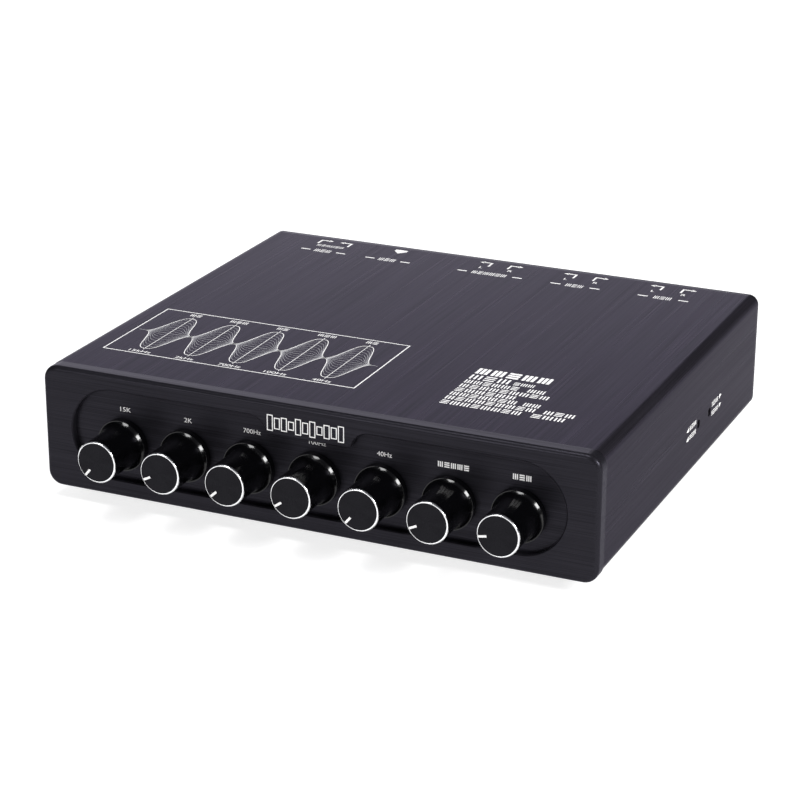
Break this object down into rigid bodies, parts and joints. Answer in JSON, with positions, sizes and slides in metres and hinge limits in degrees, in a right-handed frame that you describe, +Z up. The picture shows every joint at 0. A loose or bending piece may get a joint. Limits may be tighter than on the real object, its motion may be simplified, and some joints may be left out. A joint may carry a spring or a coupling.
{
  "type": "graphic equalizer",
  "caption": "Desktop audio equalizer in a flat aluminium case: a row of rotary band and level knobs in a recessed front panel, side slide switches, phono jacks and mains inlet at the rear.",
  "frame": {"origin": "on the floor under the feet, at the middle of the overall box", "axes": "+X to the right seen from the front, +Y from the knobs towards the rear panel, +Z up"},
  "size_m": [0.25, 0.2466, 0.0598],
  "materials": {
    "front_black": "horizontally brushed, black anodised",
    "casing_grey": "finely brushed, dark grey anodised",
    "knob_black": "polished black anodised, bright cut edge",
    "shaft_metal": "turned",
    "pot_metal": "plated",
    "bright_steel": "zinc plated",
    "black_screw": "black oxide",
    "sheet_steel": "galvanised sheet",
    "foot_rubber": "matte",
    "board_green": "solder resist",
    "black_plastic": "moulded",
    "white_plastic": "moulded",
    "red_plastic": "moulded",
    "jack_plating": "nickel plated",
    "contact_brass": "plated",
    "rocker_black": "moulded",
    "switch_shell": "tinned",
    "transformer_wrap": "tape wrapped",
    "capacitor_sleeve": "shrink sleeve",
    "chip_black": "moulded",
    "heatsink_black": "black anodised",
    "ribbon_grey": "flat cable"
  },
  "bodies": {
    "chassis": {"board_screws": "bright_steel", "capacitors": "capacitor_sleeve", "casing": "casing_grey", "control_board": "board_green", "feet": "foot_rubber", "foot_nuts": "bright_steel", "foot_screws": "bright_steel", "front_panel": "front_black", "headers": "black_plastic", "heatsink": "heatsink_black", "inlet": "black_plastic", "inlet_pins": "jack_plating", "jack_barrels": "jack_plating", "jack_blocks": "black_plastic", "jack_contacts": "contact_brass", "jack_insulators_left": "white_plastic", "jack_insulators_right": "red_plastic", "jack_screws": "black_screw", "main_board": "board_green", "op_amps": "chip_black", "panel_screws": "bright_steel", "pot_1": "pot_metal", "pot_2": "pot_metal", "pot_3": "pot_metal", "pot_4": "pot_metal", "pot_5": "pot_metal", "pot_6": "pot_metal", "pot_7": "pot_metal", "pot_nuts": "bright_steel", "pot_washers": "bright_steel", "rear_panel": "front_black", "rear_screws": "black_screw", "ribbon_cable": "ribbon_grey", "slide_board": "board_green", "slide_switches": "switch_shell", "standoffs": "bright_steel", "switch_blades": "contact_brass", "switch_housing": "black_plastic", "transformer": "transformer_wrap", "transformer_bolt": "bright_steel", "transformer_clamp": "bright_steel", "transformer_pads": "foot_rubber", "tray": "sheet_steel"},
    "control_1": {"knob_1": "knob_black", "shaft_1": "shaft_metal"},
    "control_2": {"knob_2": "knob_black", "shaft_2": "shaft_metal"},
    "control_3": {"knob_3": "knob_black", "shaft_3": "shaft_metal"},
    "control_4": {"knob_4": "knob_black", "shaft_4": "shaft_metal"},
    "control_5": {"knob_5": "knob_black", "shaft_5": "shaft_metal"},
    "control_6": {"knob_6": "knob_black", "shaft_6": "shaft_metal"},
    "control_7": {"knob_7": "knob_black", "shaft_7": "shaft_metal"},
    "power_rocker": {"rocker": "rocker_black"},
    "side_lever_1": {"slide_lever_1": "black_plastic"},
    "side_lever_2": {"slide_lever_2": "black_plastic"}
  },
  "joints": [
    {"name": "control_1_turn", "type": "hinge", "parent": "chassis", "child": "control_1", "pos_m": [-0.0877, -0.09995, 0.0291], "axis": [0, 1, 0], "range_deg": [-10, 290]},
    {"name": "control_2_turn", "type": "hinge", "parent": "chassis", "child": "control_2", "pos_m": [-0.0579, -0.09995, 0.0291], "axis": [0, 1, 0], "range_deg": [-34, 266]},
    {"name": "control_3_turn", "type": "hinge", "parent": "chassis", "child": "control_3", "pos_m": [-0.0281, -0.09995, 0.0291], "axis": [0, 1, 0], "range_deg": [-17.5, 282.5]},
    {"name": "control_4_turn", "type": "hinge", "parent": "chassis", "child": "control_4", "pos_m": [0.0017, -0.09995, 0.0291], "axis": [0, 1, 0], "range_deg": [-25.5, 274.5]},
    {"name": "control_5_turn", "type": "hinge", "parent": "chassis", "child": "control_5", "pos_m": [0.0315, -0.09995, 0.0291], "axis": [0, 1, 0], "range_deg": [-10.5, 289.5]},
    {"name": "control_6_turn", "type": "hinge", "parent": "chassis", "child": "control_6", "pos_m": [0.0613, -0.09995, 0.0291], "axis": [0, 1, 0], "range_deg": [-35, 265]},
    {"name": "control_7_turn", "type": "hinge", "parent": "chassis", "child": "control_7", "pos_m": [0.0911, -0.09995, 0.0291], "axis": [0, 1, 0], "range_deg": [-49, 251]},
    {"name": "power_rocker_tilt", "type": "hinge", "parent": "chassis", "child": "power_rocker", "pos_m": [-0.0529, 0.11305, 0.028], "axis": [1, 0, 0], "range_deg": [-20, 0]},
    {"name": "side_lever_1_slide", "type": "slide", "parent": "chassis", "child": "side_lever_1", "axis": [0, 0, 1], "range_m": [0, 0.002]},
    {"name": "side_lever_2_slide", "type": "slide", "parent": "chassis", "child": "side_lever_2", "axis": [0, 0, 1], "range_m": [0, 0.002]}
  ]
}
